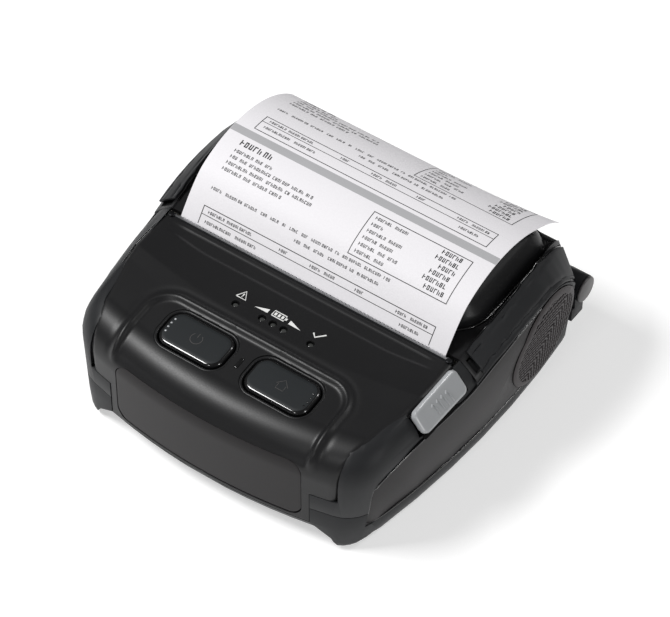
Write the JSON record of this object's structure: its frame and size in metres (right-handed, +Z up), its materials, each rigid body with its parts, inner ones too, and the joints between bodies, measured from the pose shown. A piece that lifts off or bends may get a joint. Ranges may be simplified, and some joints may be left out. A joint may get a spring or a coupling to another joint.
{
  "type": "portable label printer",
  "caption": "Portable barcode label printer with an operator panel, a hinged domed cover with its platen, a tear bar and a printed strip over the dome.",
  "frame": {"origin": "on the ground, midway between the front of the case and its rear wall, on the middle plane", "axes": "+X to the user's right, +Y from the button end back to the hinge, +Z up"},
  "size_m": [0.1416, 0.1428, 0.0686],
  "materials": {
    "case": "moulded, fine matte texture",
    "panel": "satin black, finely textured",
    "warm": "warm charcoal, fine grain",
    "grip": "soft, dimpled",
    "inlay": "matte, slightly blue",
    "gloss": "polished black",
    "key": "matte top",
    "silver": "silver grey moulding",
    "pipe": "clear",
    "board": "green laminate",
    "chips": "moulded packages",
    "steel": "plain steel",
    "screw": "blackened",
    "head": "glazed",
    "sink": "cast",
    "brass": "turned",
    "acetal": "natural acetal",
    "paper": "coated label stock",
    "core": "wound board",
    "pack": "moulded",
    "caps": "grey satin",
    "platen": "ground rubber"
  },
  "bodies": {
    "chassis": {"lower_case": "case", "upper_case": "case", "operator_panel": "panel", "front_cover_plate": "warm", "side_panel_left": "warm", "side_panel_right": "warm", "grip_pad_left": "grip", "grip_pad_right": "grip", "light_pipes": "pipe", "button_board": "board", "tact_switches": "chips", "indicator_leds": "pipe", "main_board": "board", "board_parts": "chips", "tear_bar": "steel", "tear_bar_screws": "screw", "head_bracket": "steel", "head_springs": "steel", "gear_plate": "steel", "stepper_motor": "steel", "release_spring": "steel", "roll_bay": "case", "media_sensor": "chips", "paper_web": "paper", "battery_terminals": "brass", "hinge_pin": "steel", "hinge_end_caps": "caps", "case_screws": "screw", "charge_jack": "chips", "data_socket": "steel", "port_cover": "grip"},
    "power_key": {"power_button": "key"},
    "feed_key": {"feed_button": "key"},
    "head": {"print_head": "head", "head_heatsink": "sink"},
    "pinion": {"motor_pinion": "brass"},
    "idler": {"idler_gear": "acetal"},
    "latch": {"latch_shaft": "steel", "latch_arms": "steel"},
    "release": {"release_button": "silver"},
    "roll": {"paper_roll": "paper", "roll_core": "core"},
    "battery": {"battery_pack": "pack"},
    "cover": {"cover_shell": "panel", "cover_hinges": "panel", "cover_dome": "panel", "arm_inlay_left": "inlay", "arm_inlay_right": "inlay", "dome_bead": "gloss", "platen_cheeks": "case", "platen_bushes": "acetal", "label_strip": "paper"},
    "platen": {"platen_roller": "platen", "platen_shaft": "steel", "platen_gear": "acetal"}
  },
  "joints": [
    {"name": "power_press", "type": "slide", "parent": "chassis", "child": "power_key", "axis": [0, 0.0958, -0.9954], "range_m": [0, 0.0008], "stiffness_N_per_m": 800},
    {"name": "feed_press", "type": "slide", "parent": "chassis", "child": "feed_key", "axis": [0, 0.0958, -0.9954], "range_m": [0, 0.0008], "stiffness_N_per_m": 800},
    {"name": "latch_turn", "type": "hinge", "parent": "chassis", "child": "latch", "pos_m": [0, -0.0025, 0.0245], "axis": [1, 0, 0], "range_deg": [0, 8], "stiffness_Nm_per_rad": 0.2},
    {"name": "release_press", "type": "slide", "parent": "chassis", "child": "release", "axis": [-0.7771, 0, -0.6293], "range_m": [0, 0.002]},
    {"name": "cover_hinge", "type": "hinge", "parent": "chassis", "child": "cover", "pos_m": [0, 0.0718, 0.023], "axis": [-1, 0, 0], "range_deg": [0, 95]},
    {"name": "roll_spin", "type": "hinge", "parent": "chassis", "child": "roll", "pos_m": [0, 0.034, 0.029], "axis": [1, 0, 0], "continuous": true},
    {"name": "platen_spin", "type": "hinge", "parent": "cover", "child": "platen", "pos_m": [0, 0.0016, 0.042], "axis": [1, 0, 0], "continuous": true},
    {"name": "idler_spin", "type": "hinge", "parent": "chassis", "child": "idler", "pos_m": [0, -0.00909, 0.03002], "axis": [1, 0, 0], "continuous": true},
    {"name": "pinion_spin", "type": "hinge", "parent": "chassis", "child": "pinion", "pos_m": [0, -0.0218, 0.024], "axis": [1, 0, 0], "continuous": true},
    {"name": "head_pivot", "type": "hinge", "parent": "chassis", "child": "head", "pos_m": [0, -0.0068, 0.034], "axis": [1, 0, 0], "range_deg": [0, 1.2], "stiffness_Nm_per_rad": 0.6},
    {"name": "battery_slide", "type": "slide", "parent": "chassis", "child": "battery", "axis": [0, 0, -1], "range_m": [0, 0.022]}
  ],
  "couplings": [
    {"joint": "release_press", "follows": "latch_turn", "m_per_rad": 0.01432},
    {"joint": "platen_spin", "follows": "roll_spin", "ratio": 4.4},
    {"joint": "idler_spin", "follows": "roll_spin", "ratio": -2},
    {"joint": "pinion_spin", "follows": "roll_spin", "ratio": 7.3333}
  ]
}
